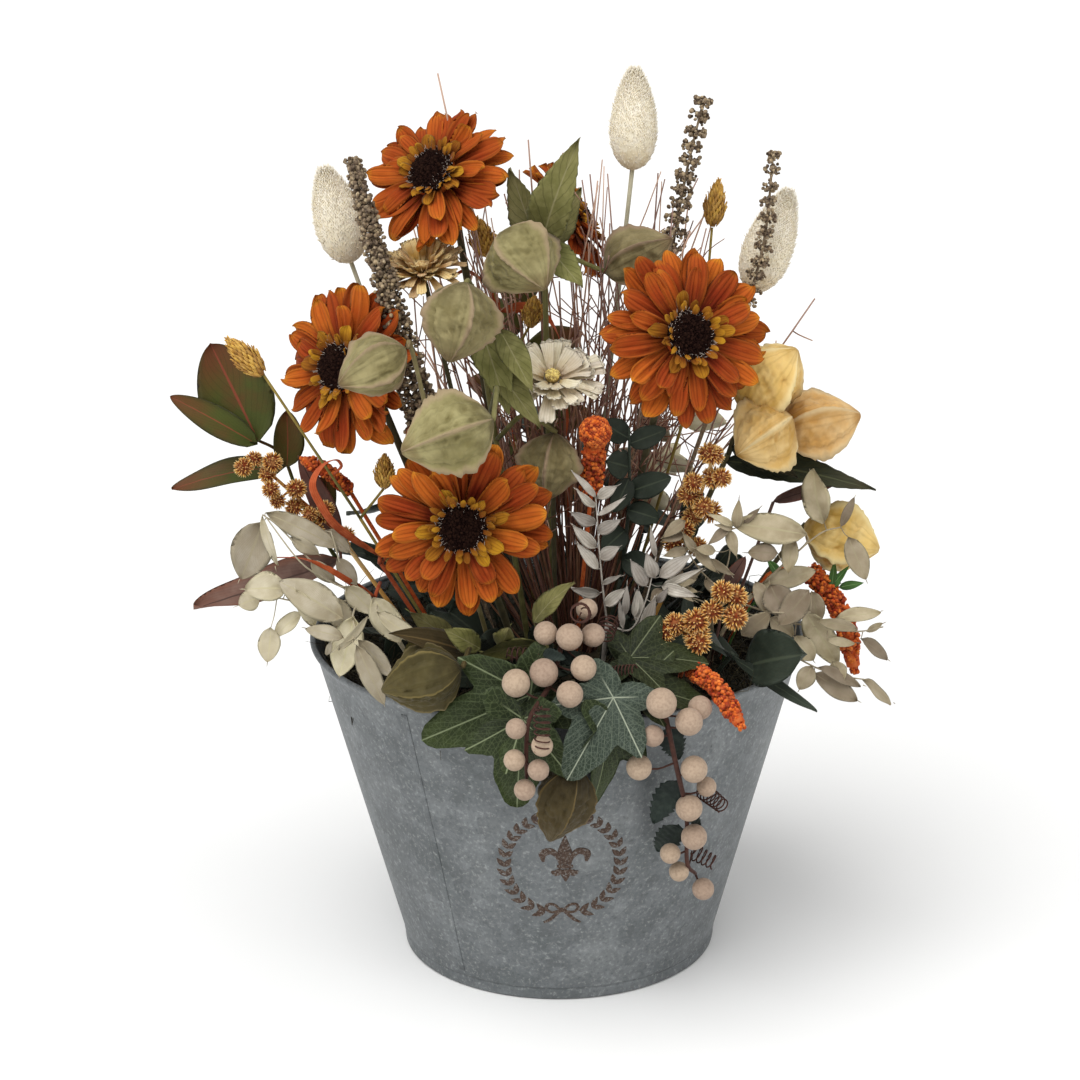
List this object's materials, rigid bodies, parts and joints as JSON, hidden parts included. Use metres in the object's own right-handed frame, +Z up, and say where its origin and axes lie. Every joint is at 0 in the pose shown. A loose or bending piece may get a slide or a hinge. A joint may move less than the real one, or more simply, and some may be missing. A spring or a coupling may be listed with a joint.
{
  "type": "flower arrangement in a zinc pot",
  "caption": "Arrangement of silk gerberas, papery pods, berries, dried grasses and bleached leaves standing in foam in a tapered round zinc pot.",
  "frame": {"origin": "middle of the pot's flat underside, on the surface it stands on", "axes": "+Z up, -Y towards the front of the arrangement, +X to its right"},
  "size_m": [0.381, 0.3041, 0.492],
  "materials": {
    "zinc": "dull galvanised zinc sheet with a mottled spangle",
    "floral_foam": "green open-cell foam, matt",
    "moss": "dark dried moss and sisal fibre",
    "rust_silk": "rust-orange woven silk petals with golden tips",
    "flower_disc": "dark brown flocked disc with golden florets",
    "olive_stem": "olive moulded stem",
    "sage_paper": "sage-green ribbed papery husk",
    "ochre_paper": "ochre papery pod",
    "velvet_cream": "cream velvety grass head",
    "seed_grey": "grey-brown dried seed spike",
    "mustard_grass": "mustard dyed grass head",
    "cream_petal": "cream papery daisy petals",
    "gold_paper": "golden beige dried petals",
    "amaranth": "orange granular flower spike",
    "burr": "tan spiky seed balls",
    "berry": "pale matt foam berries",
    "ivy_leaf": "dark green leaf with pale veins",
    "gum_leaf": "green leaf with a red flush",
    "bleached_leaf": "bleached dried leaf",
    "twig": "reddish-brown fine grass",
    "curl": "curled rust leaf ribbon"
  },
  "bodies": {
    "root": {"gerbera_front_petals": "rust_silk", "gerbera_front_heart": "flower_disc", "gerbera_front_stem": "olive_stem", "gerbera_top_left_petals": "rust_silk", "gerbera_top_left_heart": "flower_disc", "gerbera_top_left_stem": "olive_stem", "gerbera_left_petals": "rust_silk", "gerbera_left_heart": "flower_disc", "gerbera_left_stem": "olive_stem", "gerbera_right_petals": "rust_silk", "gerbera_right_heart": "flower_disc", "gerbera_right_stem": "olive_stem", "gerbera_back_petals": "rust_silk", "gerbera_back_heart": "flower_disc", "gerbera_back_stem": "olive_stem", "physalis_top": "sage_paper", "physalis_middle": "sage_paper", "physalis_left": "sage_paper", "physalis_rim": "sage_paper", "physalis_low": "sage_paper", "yellow_pods_trio": "ochre_paper", "yellow_pods_spray": "gum_leaf", "yellow_pod_low": "ochre_paper", "bunny_tail_left": "velvet_cream", "seed_spike_left": "seed_grey", "canary_grass_left": "mustard_grass", "bunny_tail_middle": "velvet_cream", "seed_spike_middle": "seed_grey", "canary_grass_middle": "mustard_grass", "bunny_tail_right": "velvet_cream", "seed_spike_right": "seed_grey", "canary_grass_right": "mustard_grass", "daisy_cream": "cream_petal", "daisy_cream_heart": "gold_paper", "daisy_beige": "gold_paper", "amaranth_middle": "amaranth", "amaranth_front": "amaranth", "amaranth_right": "amaranth", "amaranth_left": "amaranth", "burr_spray_left": "burr", "burr_spray_right": "burr", "burr_spray_front": "burr", "berry_spray_middle": "berry", "berry_spray_trailing": "berry", "ivy_left": "ivy_leaf", "ivy_right": "ivy_leaf", "gum_leaves_left": "gum_leaf", "gum_leaf_right": "gum_leaf", "gum_leaves_middle": "gum_leaf", "gum_leaves_back": "gum_leaf", "bleached_leaves_left": "bleached_leaf", "bleached_leaves_right": "bleached_leaf", "bleached_leaves_back": "bleached_leaf", "bleached_ruscus": "cream_petal", "grass_twigs": "twig", "leaf_curls": "curl", "pot_wall": "zinc", "pot_bottom": "zinc", "moss_ring": "moss", "foam_block": "floral_foam"}
  },
  "joints": []
}
